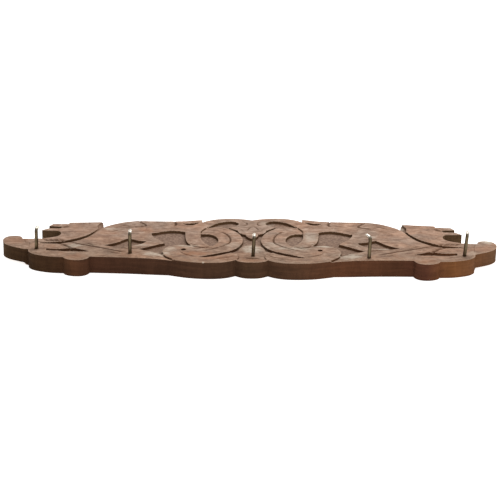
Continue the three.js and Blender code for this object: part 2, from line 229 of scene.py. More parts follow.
# Pale dusty spots, some of them painted highlights: centre, reach along x and y, strength. The spots are not
# mirrored.
DUST_AND_HIGHLIGHTS = [
    (-172, 28, 9, 4, 0.55), (-113, -47, 17, 9, 0.7), (-98, -34, 9, 10, 0.5), (-78, -22, 14, 4, 0.6),
    (2, -30, 13, 12, 0.8), (-214, -27, 9, 5, 0.75), (-134, -22, 12, 4, 0.6), (290, 2, 9, 6, 1.0),
    (50, -26, 26, 5, 0.5), (74, 6, 8, 17, 0.4), (119, -48, 15, 8, 0.65), (158, -21, 13, 5, 0.8),
    (149, 12, 5, 4, 0.45), (24, -18, 12, 9, 0.4), (-21, -18, 12, 9, 0.35),
    (266, -34, 7, 8, 0.3), (18, 52, 9, 7, 0.35), (186, 48, 5, 9, 0.8),
    (-252, 32, 9, 3, 0.5), (-253, 23, 12, 3, 0.5), (88, -19, 11, 3, 0.9),
]
# Warmer red-brown patches, in the same way
WARM_PATCHES = [
    (-66, -46, 20, 7, 1.0), (-50, -58, 26, 5, 0.55), (-62, 40, 12, 14, 0.4), (-285, -14, 16, 9, 0.55),
    (-208, -60, 14, 8, 0.5), (-190, 25, 24, 18, 0.35), (212, -60, 14, 8, 0.6), (-170, 14, 14, 8, 0.4),
    (-129, 28, 9, 10, 0.6), (285, -20, 16, 9, 0.5), (0, -64, 14, 5, 0.5), (58, 54, 22, 12, 0.3),
]
# Painted shade where the ground is darkest: centre, reach along x and y, strength
SHADE = [(186, 49, 8, 14, 0.9), (-183, 47, 8, 14, 0.8), (-110, -3, 4, 8, 0.4), (-142, -9, 6, 3, 0.5)]
# A pale splinter mark on the lower edge: x, y and reach
CHIP = (-56.0, -71.2, 1.2)

# What each point tells its material, from 0 to 1
MEASURES = ("recess", "crease_shade", "wear_and_highlight", "dust_and_highlight", "warm_patch")


# ---- curves ----


def catmull_rom(points, step):
    """Points at even steps along the smooth curve through the given points."""
    p = np.asarray(points, float)
    if len(p) == 2:
        dense = p
    else:
        padded = np.vstack([p[:1], p, p[-1:]])
        t = np.linspace(0, 1, 24, endpoint=False)[:, None]
        pieces = []
        for p0, p1, p2, p3 in zip(padded, padded[1:], padded[2:], padded[3:]):
            v0, v1 = (p2 - p0) / 2, (p3 - p1) / 2
            pieces.append(
                (2 * p1 - 2 * p2 + v0 + v1) * t**3 + (3 * p2 - 3 * p1 - 2 * v0 - v1) * t**2 + v0 * t + p1
            )
        dense = np.vstack([*pieces, p[-1:]])
    along = np.concatenate([[0], np.cumsum(np.linalg.norm(np.diff(dense, axis=0), axis=1))])
    count = max(2, round(along[-1] / step))
    even = np.linspace(0, along[-1], count + 1)
    return np.column_stack([np.interp(even, along, dense[:, k]) for k in (0, 1)])


def chain(rows, end, step):
    """The points along smooth stretches, each up to the next one's start and the last up to the end."""
    stops = [row[0] for row in rows[1:]] + [end]
    return np.vstack([catmull_rom([*row, stop], step)[:-1] for row, stop in zip(rows, stops)])


def left_half(points):
    """Where the points of the right half lie on the left half."""
    x, y = np.asarray(points, float).T
    share = np.clip(x / LEFT_SETTLE, -1, 1)
    mirrored = np.where(x > END_START, -x - LEFT_OUTSET, 2 * AXIS - x)
    return np.column_stack([mirrored, y - share * (LEFT_DROP + LEFT_SHRINK * (y - LEFT_FROM))])


def both_halves(rows, step):
    """A closed outline that crosses the mirror line, where its last row is."""
    end = rows[-1][0]
    right = np.vstack([chain(rows[:-1], end, step), end])
    return np.vstack([right, left_half(right[1:-1])[::-1]])


def round_bar(width, length, x, y, step=0.8):
    """A closed outline with round ends, along Y."""
    radius = width / 2
    reach = length / 2 - radius
    turn = np.linspace(0, math.pi, round(math.pi * radius / step) + 1)
    top = np.column_stack([radius * np.cos(turn), reach + radius * np.sin(turn)])
    sides = max(2, round(2 * reach / step))
    down = np.linspace(reach, -reach, sides + 1)[1:-1]
    half = np.vstack([top, np.column_stack([np.full(len(down), -radius), down])])
    return np.vstack([half, -half]) + (x, y)


def circle(radius, x, y, count):
    """Points round a circle."""
    turn = np.linspace(0, 2 * math.pi, count, endpoint=False)
    return np.column_stack([x + radius * np.cos(turn), y + radius * np.sin(turn)])


class Edges:
    """The edges of closed loops, which tell how far a point is from them, and whether they enclose it."""

    BIN = 8.0  # width of the strips in which points are measured together

    def __init__(self, loops):
        self.a = np.vstack(loops)
        self.b = np.vstack([np.roll(loop, -1, axis=0) for loop in loops])

    def measure(self, points, reach):
        """The distance to the nearest segment, at most reach, and if the point is enclosed."""
        points = np.asarray(points, float)
        far = np.full(len(points), float(reach))
        odd = np.zeros(len(points), bool)
        low = np.minimum(self.a[:, 0], self.b[:, 0])
        high = np.maximum(self.a[:, 0], self.b[:, 0])
        bins = np.floor(points[:, 0] / self.BIN).astype(int)
        for k in np.unique(bins):
            mine = np.nonzero(bins == k)[0]
            x0, x1 = k * self.BIN, (k + 1) * self.BIN
            near = (high > x0 - reach) & (low < x1 + reach)
            if not near.any():
                continue
            a, b = self.a[near], self.b[near]
            for part in np.array_split(mine, max(1, len(mine) * len(a) // 2_000_000)):
                p = points[part][:, None, :]
                run = (b - a)[None]
                share = ((p - a) * run).sum(2) / np.maximum((run**2).sum(2), 1e-12)
                gap = p - a - np.clip(share, 0, 1)[..., None] * run
                far[part] = np.minimum(far[part], np.sqrt((gap**2).sum(2)).min(1))
                px, py = p[..., 0], p[..., 1]
                spans = (a[:, 0] > px) != (b[:, 0] > px)
                with np.errstate(divide="ignore", invalid="ignore"):
                    height = a[:, 1] + (px - a[:, 0]) / (b[:, 0] - a[:, 0]) * (b[:, 1] - a[:, 1])
                odd[part] = (np.where(spans, height > py, False).sum(1) % 2).astype(bool)
        return far, odd


# ---- the board's surface ----

# All in millimetres
STEP = 0.8  # spacing along edges
ROW_SPACING = 0.33  # the least spacing beside edges and in lines
GRID = 1.3  # spacing of the open surface
GRID_CLEARANCE = 0.7
BACK_GRID = 7.0
SIDE_ROWS = (0.0, 0.05, 0.2, 0.36, 0.52, 0.68, 0.84, 0.96, 1.0)  # shares of the side's height
SIDE_BOW = 0.16  # how far the sawn side is hollow
SIDE_WAVE = 0.12
SMOOTH_REACH = 9.0  # edges further away than this have no effect
WALL_TOP = 0.3  # how far the top of a carved wall is worn down
WALL_FOOT = 0.2  # how much the foot of a wall is filled
FOOT_REACH = 0.9
CROWN = 0.55  # how much higher the middle of a band is than its edges
CROWN_REACH = 2.2
RIM_FALL = 0.45  # how far the front falls towards the board's edge
RIM_REACH = 2.2
ARRIS = 0.4  # how far sharp edges are broken, and over what length
SHALLOWING = 0.6  # the part of the relief that is missing where the ground runs out
HOOK_DIMPLE = 0.8
LOBE_STEP = 0.6  # the length over which the end lobes get thinner

outline = both_halves(EDGE, STEP)
ground_loops = [both_halves(LOOP_GROUND, STEP)]
for half in (RING_GROUND, BODY_GROUND, HIP_GROUND, WING_GROUND, TAIL_GROUND, TIP_GROUND):
    loop = chain(half, half[0][0], STEP)
    ground_loops += [loop, left_half(loop)[::-1]]
edge_lines = Edges([outline])
ground_lines = Edges(ground_loops)

ticks = []
for number in range(TICK_COUNT):
    start = TICK_START + number * TICK_SPACING
    ticks.append(([[start + x, y] for x, y in TICK_RUN], TICK_WIDTH, TICK_DEPTH))
grooves = []
for points, width, depth in GROOVES + ticks:
    line = catmull_rom(points, STEP)
    grooves += [(line, width, depth), (left_half(line), width, depth)]
for points, width, depth in CENTRE_GROOVES:
    grooves.append((catmull_rom(points, STEP), width, depth))
overlaps = []
for points, drop in OVERLAPS:
    line = catmull_rom(points, STEP)
    overlaps += [(line, drop), (left_half(line)[::-1], drop)]
eyes = [np.array(EYE), left_half([EYE])[0]]


def smoothstep(value):
    """From 0 to 1 with soft ends."""
    value = np.clip(value, 0, 1)
    return value * value * (3 - 2 * value)


def ripple(points, size, seed):
    """Smooth noise from -1 to 1 at each point, for waves of about the given size."""
    return np.array([noise.noise(Vector((x / size, y / size, seed))) for x, y in points])


def gap_and_side(points, line):
    """How far each point is from the open line, and how far it is to the left of it."""
    a, run = line[:-1], np.diff(line, axis=0)
    out = np.empty((2, len(points)))
    for part in np.array_split(np.arange(len(points)), max(1, len(points) // 4000)):
        offset = points[part][:, None, :] - a
        share = np.clip((offset * run).sum(2) / (run**2).sum(1), 0, 1)
        gap = np.linalg.norm(offset - share[..., None] * run, axis=2)
        nearest = gap.argmin(1)
        row = np.arange(len(part))
        to, along = offset[row, nearest], run[nearest]
        cross = along[:, 0] * to[:, 1] - along[:, 1] * to[:, 0]
        out[:, part] = gap[row, nearest], cross / np.linalg.norm(along, axis=1)
    return out


def near_line(points, line, reach):
    """The numbers of the points in the line's box, enlarged by the reach."""
    return np.nonzero(((points > line.min(0) - reach) & (points < line.max(0) + reach)).all(1))[0]


def end_fade(points, line, length):
    """From 0 at the ends of the line to 1 at the length from them."""
    ends = [np.linalg.norm(points - end, axis=1) for end in (line[0], line[-1])]
    return smoothstep(np.minimum(*ends) / length)


def lower_overlaps(points, height, crease_shade):
    """Lower each band where another passes over it, and paint shade along the step."""
    for line, drop in overlaps:
        near = near_line(points, line, 2 * OVERLAP_REACH)
        gap, left = gap_and_side(points[near], line)
        fade = end_fade(points[near], line, 3.0) * np.exp(-gap / OVERLAP_REACH)
        under = left > 0
        step = drop * fade * np.where(under, smoothstep(gap / 0.5), 0)
        height[near] -= step
        shade = fade * np.where(under, np.exp(-gap / 0.9), np.exp(-gap / 0.3))
        crease_shade[near] = np.maximum(crease_shade[near], min(0.8, 0.4 * drop) * shade)


def cut_grooves(points, height, crease_shade):
    """Cut the incised lines, shallow at their ends, with painted shade in them."""
    for line, width, depth in grooves:
        near = near_line(points, line, width)
        gap, _ = gap_and_side(points[near], line)
        taper = 0.2 + 0.8 * end_fade(points[near], line, 7.0)
        cut = smoothstep(1 - gap / (width / 2)) * taper
        height[near] -= depth * cut
        crease_shade[near] = np.maximum(crease_shade[near], min(1.0, 0.4 + 0.4 * depth) * cut)


def patches(points, spots, seed):
    """How strongly each point lies in one of the spots, with ragged edges."""
    ragged = 0.45 * ripple(points, 6.0, seed) + 0.3 * ripple(points, 2.4, seed + 1)
    strength = np.zeros(len(points))
    for x, y, reach_x, reach_y, amount in spots:
        gap = np.hypot((points[:, 0] - x) / reach_x, (points[:, 1] - y) / reach_y)
        strength = np.maximum(strength, amount * smoothstep(1.35 - gap + ragged))
    return strength


def shallow_ground(points):
    """Where the ground runs out, on the left: at the top of the wing and at the end of the tail."""
    x, y = points.T
    wing_top = np.where(x < -178, smoothstep((y - 4) / 24), 0)
    tail_end = np.where(y < -30, smoothstep((-222 - x) / 12), 0)
    return wing_top + 0.8 * tail_end


def carved_height(points, from_edge, from_wall, in_ground):
    """The height of the ground, with a rounded foot to its walls, and of the crowned bands."""
    fall = np.clip(from_wall / WALL_RUN, 0, 1)
    foot = WALL_FOOT * np.exp(-np.maximum(from_wall - WALL_RUN, 0) / FOOT_REACH)
    sunk = WALL_TOP * (1 - fall) + (RELIEF * (1 - SHALLOWING * shallow_ground(points)) - foot) * fall
    crowned = (CROWN - WALL_TOP) * np.exp(-from_wall / CROWN_REACH) + WALL_TOP * np.exp(-from_wall / ARRIS)
    height = THICKNESS - np.where(in_ground, sunk, crowned)
    return height - (RIM_FALL * np.exp(-from_edge / RIM_REACH) + ARRIS * np.exp(-from_edge / ARRIS))


def sink_eyes(points, height, crease_shade):
    """The round holes of the beasts' eyes, with painted shade in them."""
    for eye in eyes:
        gap = np.linalg.norm(points - eye, axis=1)
        height -= EYE_DEPTH * smoothstep((EYE_RADIUS - gap) / 0.7 + 0.5)
        np.maximum(crease_shade, 0.85 * smoothstep((EYE_RADIUS + 0.8 - gap) / 1.8), out=crease_shade)


def sink_hook_dimples(points, height, crease_shade):
    """The pressed wood round the foot of each hook, with painted shade round it."""
    for hook in HOOKS.values():
        gap = np.hypot(points[:, 0] - hook["x"], points[:, 1] - hook["y"])
        height -= HOOK_DIMPLE * smoothstep((WIRE_RADIUS + 0.4 - gap) / 0.4)
        np.maximum(crease_shade, 0.6 * smoothstep((WIRE_RADIUS + 1.3 - gap) / 1.3), out=crease_shade)


def gouge_marks(points, from_edge, from_wall, in_ground):
    """Low waves left by the gouge, short in the ground and longer along the bands."""
    facets = ripple(points, 5.5, 3.0) * 0.22 + ripple(points, 2.4, 8.0) * 0.12
    calm = ripple(points, 8.0, 5.0) * 0.24 + ripple(points * [0.5, 1.0], 3.2, 2.0) * 0.14
    return np.where(in_ground, facets, calm) * np.clip(from_wall, 0, 1) * np.clip(from_edge / 2, 0, 1)


def surface(points):
    """The front's height at each point, millimetres, and the surface measures there, each from 0 to 1."""
    from_edge, _ = edge_lines.measure(points, SMOOTH_REACH)
    from_wall, in_ground = ground_lines.measure(points, SMOOTH_REACH)
    height = carved_height(points, from_edge, from_wall, in_ground)
    crease_shade = np.zeros(len(points))
    lower_overlaps(points, height, crease_shade)
    cut_grooves(points, height, crease_shade)
    sink_eyes(points, height, crease_shade)
    sink_hook_dimples(points, height, crease_shade)
    height += gouge_marks(points, from_edge, from_wall, in_ground)

    # painted shade along the foot of the walls and in the darkest corners of the ground
    at_foot = 0.85 * np.exp(-np.maximum(from_wall - 0.2, 0) / FOOT_REACH)
    at_foot = np.maximum(at_foot, patches(points, SHADE, 31.0))
    crease_shade = np.maximum(crease_shade, np.where(in_ground, at_foot, 0))
    recess = np.where(in_ground, smoothstep(from_wall / WALL_RUN), 0)
    # paler rims along the tops of the walls and the board's edge: partly worn wood, partly painted highlight
    wear_and_highlight = np.where(in_ground, 0, np.exp(-from_wall / 0.8) + np.exp(-from_edge / 0.9))
    x, y, reach = CHIP
    chip = np.hypot(points[:, 0] - x, points[:, 1] - y) < reach
    dust_and_highlight = np.maximum(patches(points, DUST_AND_HIGHLIGHTS, 11.0), chip)
    warm_patch = patches(points, WARM_PATCHES, 23.0)
    return np.minimum(height, THICKNESS), recess, crease_shade, np.clip(wear_and_highlight, 0, 1), dust_and_highlight, warm_patch


def offset_rows(line, closed, distances):
    """Copies of a line moved sideways by each distance."""
    ahead = np.roll(line, -1, 0) if closed else np.vstack([line[1:], 2 * line[-1] - line[-2]])
    behind = np.roll(line, 1, 0) if closed else np.vstack([2 * line[0] - line[1], line[:-1]])
    run = ahead - behind
    run /= np.maximum(np.linalg.norm(run, axis=1), 1e-9)[:, None]
    sideways = np.column_stack([-run[:, 1], run[:, 0]])
    return [line + d * sideways for d in distances]


def keep_exact(rows, lines, distance):
    """The moved points that really are that far from the lines, so that corners don't fold."""
    points = np.vstack(rows)
    gap, _ = lines.measure(points, 3.0)
    return points[np.abs(gap - distance) < 0.12 * distance + 0.02]


class Soup:
    """Triangles gathered from many patches, with the surface measures of each point."""

    def __init__(self):
        self.points = []
        self.faces = []
        self.measures = []
        self.count = 0

    def add(self, points, faces, measures=None):
        points = np.asarray(points, float)
        if measures is None:
            measures = np.zeros((len(points), len(MEASURES)))
        self.points.append(points)
        self.measures.append(measures)
        self.faces.append(np.asarray(faces, int) + self.count)
        self.count += len(points)


def triangulate(loops, free, extra_lines=()):
    """A flat triangulation of the area inside the first loop. The loops and lines stay as edges."""
    edges = []
    start = 0
    for loop in loops:
        edges += [(start + i, start + (i + 1) % len(loop)) for i in range(len(loop))]
        start += len(loop)
    for _, kept in extra_lines:
        number = start + np.cumsum(kept) - 1
        joined = kept & np.roll(kept, -1)
        edges += np.column_stack([number, np.roll(number, -1)])[joined].tolist()
        start += int(kept.sum())
    flat = np.vstack([*loops, *[line[kept] for line, kept in extra_lines], free])
    out = delaunay_2d_cdt([Vector(p) for p in flat], edges, [], 1, 1e-6, False)
    points, faces = np.array([tuple(v) for v in out[0]]), np.array(out[2], int)
    _, inside = Edges(loops[:1]).measure(points[faces].mean(1), 0.1)
    return points, faces[inside]


def grid_points(low, high, spacing):
    """Points of a triangular grid, each moved a little so that no rows show."""
    rng = np.random.default_rng(7)
    rows = np.arange(low[1], high[1], spacing * 0.87)
    cols = np.arange(low[0], high[0], spacing)
    x, y = np.meshgrid(cols, rows)
    x[1::2] += spacing / 2
    points = np.column_stack([x.ravel(), y.ravel()])
    return points + rng.uniform(-0.12, 0.12, points.shape) * spacing


def thin_out(points, kept_before, spacing):
    """The points that are not closer than the spacing to each other or to the ones kept before."""
    cells = {}
    for x, y in kept_before:
        cells.setdefault((int(x // spacing), int(y // spacing)), []).append((x, y))
    kept = []
    for i, (x, y) in enumerate(points):
        cx, cy = int(x // spacing), int(y // spacing)
        around = [q for a in (-1, 0, 1) for b in (-1, 0, 1) for q in cells.get((cx + a, cy + b), ())]
        if all((u - x) ** 2 + (v - y) ** 2 >= spacing * spacing for u, v in around):
            cells.setdefault((cx, cy), []).append((x, y))
            kept.append(i)
    return points[kept]


def front_points(fixed):
    """The free points of the front: rows along every edge and line, and a grid between them."""
    beside = [([outline], edge_lines, 0.35), ([outline], edge_lines, 1.0)]
    beside += [(ground_loops, ground_lines, distance) for distance in (WALL_RUN, 1.1)]
    rows = []
    for loops, lines, distance in beside:
        moved = [row for loop in loops for row in offset_rows(loop, True, (-distance, distance))]
        rows.append(keep_exact(moved, lines, distance))
    for line, width, _ in grooves:
        rows += [line, *offset_rows(line, False, (-width / 2, -width / 4, width / 4, width / 2))]
    for line, _ in overlaps:
        rows += [line, *offset_rows(line, False, (0.25, 0.5, 1.1))]
    for eye in eyes:
        rows += [circle(EYE_RADIUS + d, *eye, 26) for d in (-1.2, -0.4, 0.3)]
    for hook in HOOKS.values():
        rows += [circle(WIRE_RADIUS + d, hook["x"], hook["y"], 22) for d in (-0.1, 0.4, 1.3)]
    features = thin_out(np.vstack(rows), fixed, ROW_SPACING)
    grid = grid_points(outline.min(0), outline.max(0), GRID)
    grid = thin_out(grid, np.vstack([fixed, features]), GRID_CLEARANCE)
    free = np.vstack([features, grid])
    from_edge, inside = edge_lines.measure(free, 1.0)
    return free[inside & (from_edge > 0.2)]


def back_height(points):
    """The height of the back: the end lobes are thinned."""
    past_start = np.abs(points[:, 0]) - END_START
    return END_THINNING * np.clip(past_start / LOBE_STEP + 0.5, 0, 1)


def ring_faces(count, rings=2):
    """Two triangles between each pair of points of rings of the same length, one after another."""
    i = np.arange(count)
    j = (i + 1) % count
    pair = np.vstack([np.column_stack([i, j, j + count]), np.column_stack([i, j + count, i + count])])
    return np.vstack([pair + k * count for k in range(rings - 1)])


def add_front(soup):
    """The carved front, with the edges of the ground kept as edges of the mesh."""
    walls = []
    for loop in ground_loops:
        gap, inside = edge_lines.measure(loop, 1.0)
        walls.append((loop, inside & (gap > 0.3)))
    fixed = np.vstack([outline, *[loop[kept] for loop, kept in walls]])
    flat, faces = triangulate([outline], front_points(fixed), walls)
    height, *measures = surface(flat)
    soup.add(np.column_stack([flat, height]), faces, np.column_stack(measures))


def add_sides(soup):
    """The sawn sides, in rows from the front's edge to the back, a little hollow and wavy."""
    height, *measures = surface(outline)
    base = back_height(outline)
    count = len(outline)
    along = np.concatenate([[0], np.cumsum(np.linalg.norm(np.diff(outline, axis=0), axis=1))])
    inward = offset_rows(outline, True, (1.0,))[0] - outline
    if edge_lines.measure(outline + 0.3 * inward, 1.0)[1].mean() < 0.5:
        inward = -inward
    rings = []
    for share in SIDE_ROWS:
        z = height + (base - height) * share
        wave = SIDE_WAVE * np.array([noise.noise(Vector((s / 4.0, share * 1.5, 1.0))) for s in along])
        bow = SIDE_BOW + wave if 0 < share < 1 else np.zeros(count)
        rings.append(np.column_stack([outline + inward * bow[:, None], z]))
    side_measures = np.zeros((count * len(rings), len(MEASURES)))
    side_measures[:count] = np.column_stack(measures)
    side_measures[-count:, MEASURES.index("wear_and_highlight")] = 0.5
    soup.add(np.vstack(rings), ring_faces(count, len(rings)), side_measures)


def add_back(soup):
    """The back, stepped at the end lobes, with the seats of the hanger plates."""
    seats = [round_bar(*MORTISE[:2], side * PLATE_X, PLATE_Y) for side in (-1, 1)]
    low, high = outline.min(0), outline.max(0)
    rise = np.linspace(low[1], high[1], 60)
    steps = [
        np.column_stack([np.full(len(rise), side * (END_START + half)), rise])
        for side in (-1, 1)
        for half in (-LOBE_STEP / 2, LOBE_STEP / 2)
    ]
    free = np.vstack([grid_points(low, high, BACK_GRID), *steps])
    gap, inside = edge_lines.measure(free, 1.5)
    free = free[inside & (gap > 0.8)]
    flat, faces = triangulate([outline, *seats], free)
    for seat in seats:
        faces = outside_only(flat, faces, seat)
    soup.add(np.column_stack([flat, back_height(flat)]), faces[:, ::-1])
    for side, seat in zip((-1, 1), seats):
        add_seat(soup, seat, side * PLATE_X)


def board_mesh():
    """The whole board as one closed mesh, with the surface measures of each point."""
    soup = Soup()
    add_front(soup)
    add_sides(soup)
    add_back(soup)
    return soup


def outside_only(points, faces, loop):
    """The triangles whose middle is not inside the loop."""
    _, inside = Edges([loop]).measure(points[faces].mean(1), 0.1)
    return faces[~inside]


def add_wall(soup, loop, low, high):
    """The wall of a hole in the back, between two heights."""
    rings = [np.column_stack([loop, np.full(len(loop), z)]) for z in (low, high)]
    soup.add(np.vstack(rings), ring_faces(len(loop)))


def add_floor(soup, loop, holes, z):
    """The floor of a recess in the back, with holes in it."""
    flat, faces = triangulate([loop, *holes], np.zeros((0, 2)))
    for hole in holes:
        faces = outside_only(flat, faces, hole)
    soup.add(np.column_stack([flat, np.full(len(flat), z)]), faces[:, ::-1])


def add_seat(soup, seat, x):
    """One hanger's seat: the mortise, the room for the wall screw's head and two screw holes."""
    depth = MORTISE[2]
    room = round_bar(*HEAD_ROOM[:2], x, PLATE_Y)
    holes = [circle(SCREW_HOLE[0], x, PLATE_Y + side * SCREW_SPREAD, 16) for side in (-1, 1)]
    add_wall(soup, seat, 0, depth)
    add_floor(soup, seat, [room, *holes], depth)
    add_wall(soup, room, depth, HEAD_ROOM[2])
    add_floor(soup, room, [], HEAD_ROOM[2])
    for hole in holes:
        add_wall(soup, hole, depth, SCREW_HOLE[1])
        add_floor(soup, hole, [], SCREW_HOLE[1])


BOARD_SMOOTH_ANGLE = 38
WIRE_SMOOTH_ANGLE = 60


def build_object(name, soup, smooth_angle):
    """A mesh object in metres, its points joined where patches meet."""
    points = np.vstack(soup.points) * MM
    faces = np.vstack(soup.faces)
    measures = np.vstack(soup.measures)
    mesh = bpy.data.meshes.new(name)
    mesh.from_pydata(points.tolist(), [], faces.tolist())
    for k, measure in enumerate(MEASURES):
        layer = mesh.attributes.new(measure, "FLOAT", "POINT")
        layer.data.foreach_set("value", np.ascontiguousarray(measures[:, k], np.float32))
    bm = bmesh.new()
    bm.from_mesh(mesh)
    bmesh.ops.remove_doubles(bm, verts=bm.verts, dist=1e-6)
    bmesh.ops.recalc_face_normals(bm, faces=bm.faces)
    bm.to_mesh(mesh)
    bm.free()
    mesh.shade_smooth()
    mesh.set_sharp_from_angle(angle=math.radians(smooth_angle))
    obj = bpy.data.objects.new(name, mesh)
    bpy.context.scene.collection.objects.link(obj)
    return obj


# ---- hooks ----

WIRE_SIDES = 20
POINT_RADIUS = 0.35  # of the screw's point


def hook_path():
    """Points and radii along the middle of a hook, from the screw's point, and how many are in the screw."""
    z = np.linspace(-SHANK_LENGTH - THREAD_LENGTH, -SHANK_LENGTH, 61)
    screw = np.column_stack([np.zeros_like(z), z])
    stem = np.column_stack([np.zeros(5), np.linspace(-SHANK_LENGTH, STEM_HEIGHT - BEND_RADIUS, 6)[1:]])
    t = np.linspace(0, 1, 13)[1:, None]
    start = np.array([0, STEM_HEIGHT - BEND_RADIUS])
    corner = np.array([0, STEM_HEIGHT])
    end = np.array([BEND_RADIUS, STEM_HEIGHT])
    bend = (1 - t) ** 2 * start + 2 * t * (1 - t) * corner + t * t * end
    reach = ARM_LENGTH - WIRE_RADIUS
    arm = np.column_stack([np.linspace(BEND_RADIUS, reach, 5)[1:], np.full(4, STEM_HEIGHT)])
    dome = np.sin(np.linspace(0, math.pi / 2, 7)[1:])
    tip = np.column_stack([reach + WIRE_RADIUS * dome, np.full(6, STEM_HEIGHT)])
    points = np.vstack([screw, stem, bend, arm, tip])
    radii = np.concatenate([
        np.full(len(points) - 6, WIRE_RADIUS),
        WIRE_RADIUS * np.sqrt(np.maximum(1 - dome**2, 0.0004)),
    ])
    return points, radii, len(screw)


def thread_radius(depth, turn):
    """The screw's radius at a height above its point, where a turn is from 0 to 1 round it."""
    phase = (depth / THREAD_PITCH - turn) % 1.0
    wave = np.clip(1.6 * (1 - 2 * np.abs(phase - 0.5)) - 0.3, 0, 1)
    full = np.clip(depth / THREAD_TAPER, 0, 1)
    radius = THREAD_ROOT + (THREAD_CREST - THREAD_ROOT) * wave
    return POINT_RADIUS + (radius - POINT_RADIUS) * full


def hook_rings():
    """A ring of points round each point of the hook's path, and how far the wire is worn bright there, which
    also paints the arm's highlight.
    """
    points, radii, screw_count = hook_path()
    run = np.gradient(points, axis=0)
    run /= np.linalg.norm(run, axis=1)[:, None]
    turn = np.arange(WIRE_SIDES) / WIRE_SIDES
    rings = []
    for i, (y, z) in enumerate(points):
        radius = np.full(WIRE_SIDES, radii[i])
        if i < screw_count - 1:
            radius = thread_radius(z + SHANK_LENGTH + THREAD_LENGTH, turn)
        across = np.cos(2 * math.pi * turn) * radius
        along = np.sin(2 * math.pi * turn) * radius
        rings.append(np.column_stack([across, y + along * run[i, 1], z - along * run[i, 0]]))
    ends = np.array([[0, *points[0]], [0, *points[-1]]])
    return rings, ends, smoothstep(points[:, 0] / BEND_RADIUS)


def hook_soup():
    """A bent wire with a screw thread, in its own frame: the board's front is z = 0, the arm points to +Y."""
    rings, ends, rubbed_and_highlit = hook_rings()
    count = len(rings) * WIRE_SIDES
    around = np.arange(WIRE_SIDES)
    ahead = np.roll(around, -1)
    last_ring = count - WIRE_SIDES
    first_cap = np.column_stack([ahead, around, np.full(WIRE_SIDES, count)])
    last_cap = np.column_stack([last_ring + around, last_ring + ahead, np.full(WIRE_SIDES, count + 1)])
    measures = np.zeros((count + 2, len(MEASURES)))
    measures[:-2, MEASURES.index("wear_and_highlight")] = np.repeat(rubbed_and_highlit, WIRE_SIDES)
    measures[-1, MEASURES.index("wear_and_highlight")] = 1
    faces = np.vstack([ring_faces(WIRE_SIDES, len(rings)), first_cap, last_cap])
    soup = Soup()
    soup.add(np.vstack([*rings, ends]), faces, measures)
    return soup


def place_hook(name, hook):
    """One hook, turned, leaned and set into the board."""
    obj = build_object(name + "_wire", hook_soup(), WIRE_SMOOTH_ANGLE)
    turn = Matrix.Rotation(math.radians(hook["turn"]), 4, "Z")
    lean = Matrix.Rotation(math.radians(hook["lean"]), 4, "Y")
    rise = THICKNESS + hook["height"] - STEM_HEIGHT
    move = Matrix.Translation(Vector((hook["x"], hook["y"], rise)) * MM)
    obj.data.transform(move @ lean @ turn)
    return obj


# ---- materials ----


class Shader:
    """A material's node tree, built one call at a time."""

    def __init__(self, name):
        self.material = bpy.data.materials.new(name)
        self.material.use_nodes = True
        self.tree = self.material.node_tree
        self.bsdf = self.tree.nodes["Principled BSDF"]

    def set(self, socket, value):
        """Link another node's socket, or set a constant. A colour of three numbers is made opaque."""
        if isinstance(value, bpy.types.NodeSocket):
            self.tree.links.new(value, socket)
        elif socket.type == "RGBA":
            socket.default_value = (*value, 1)
        else:
            socket.default_value = value

    def set_all(self, node, inputs):
        for name, value in inputs.items():
            self.set(node.inputs[name.replace("_", " ")], value)

    def node(self, kind, **inputs):
        """A node of the kind, its inputs set by name."""
        made = self.tree.nodes.new(kind)
        self.set_all(made, inputs)
        return made

    def place(self, scale=(1, 1, 1), turn=(0, 0, 0)):
        """The object's own coordinates, stretched."""
        coords = self.node("ShaderNodeTexCoord").outputs["Object"]
        return self.node("ShaderNodeMapping", Vector=coords, Scale=scale, Rotation=turn).outputs["Vector"]

    def noise(self, scale, detail=3.0, roughness=0.6, distortion=0.0, turn=(0, 0, 0)):
        """Cloudy noise, with about so many clouds to a metre along each axis."""
        made = self.node("ShaderNodeTexNoise", Vector=self.place(scale, turn), Scale=1.0)
        self.set_all(made, {"Detail": detail, "Roughness": roughness, "Distortion": distortion})
        return made.outputs["Fac"]

    def parts(self, vector):
        """The x, y and z of a vector."""
        return self.node("ShaderNodeSeparateXYZ", Vector=vector).outputs

    def ramp(self, value, low, high, start=0.0, end=1.0):
        """A straight ramp from start to end as the value goes from low to high."""
        made = self.node("ShaderNodeMapRange", Value=value, From_Min=low, From_Max=high)
        self.set_all(made, {"To Min": start, "To Max": end})
        return made.outputs["Result"]

    def colours(self, value, stops):
        """A colour that follows the value through the stops, each a position and a colour."""
        made = self.node("ShaderNodeValToRGB", Fac=value)
        elements = made.color_ramp.elements
        while len(elements) < len(stops):
            elements.new(0.5)
        for element, (position, colour) in zip(elements, stops):
            element.position = position
            element.color = (*colour, 1)
        return made.outputs["Color"]

    def mix(self, factor, a, b, blend="MIX"):
        made = self.node("ShaderNodeMix")
        made.data_type = "RGBA"
        made.blend_type = blend
        for number, value in ((0, factor), (6, a), (7, b)):
            self.set(made.inputs[number], value)
        return made.outputs[2]

    def tinted(self, colour, tint):
        """The colour multiplied by the tint."""
        return self.mix(1.0, colour, tint, "MULTIPLY")

    def math(self, operation, a, b=0.0):
        made = self.node("ShaderNodeMath")
        made.operation = operation
        self.set(made.inputs[0], a)
        self.set(made.inputs[1], b)
        return made.outputs[0]

    def times(self, a, b):
        return self.math("MULTIPLY", a, b)

    def blend(self, a, b, share):
        """The two values added, the first one with the given share."""
        return self.math("ADD", self.times(a, share), self.times(b, 1 - share))

    def attribute(self, name):
        made = self.node("ShaderNodeAttribute")
        made.attribute_name = name
        return made.outputs["Fac"]

    def bump(self, height, strength, distance):
        made = self.node("ShaderNodeBump", Height=height, Strength=strength, Distance=distance)
        return made.outputs["Normal"]

    def finish(self, **inputs):
        """Set the shader's inputs and return the material."""
        self.set_all(self.bsdf, inputs)
        return self.material


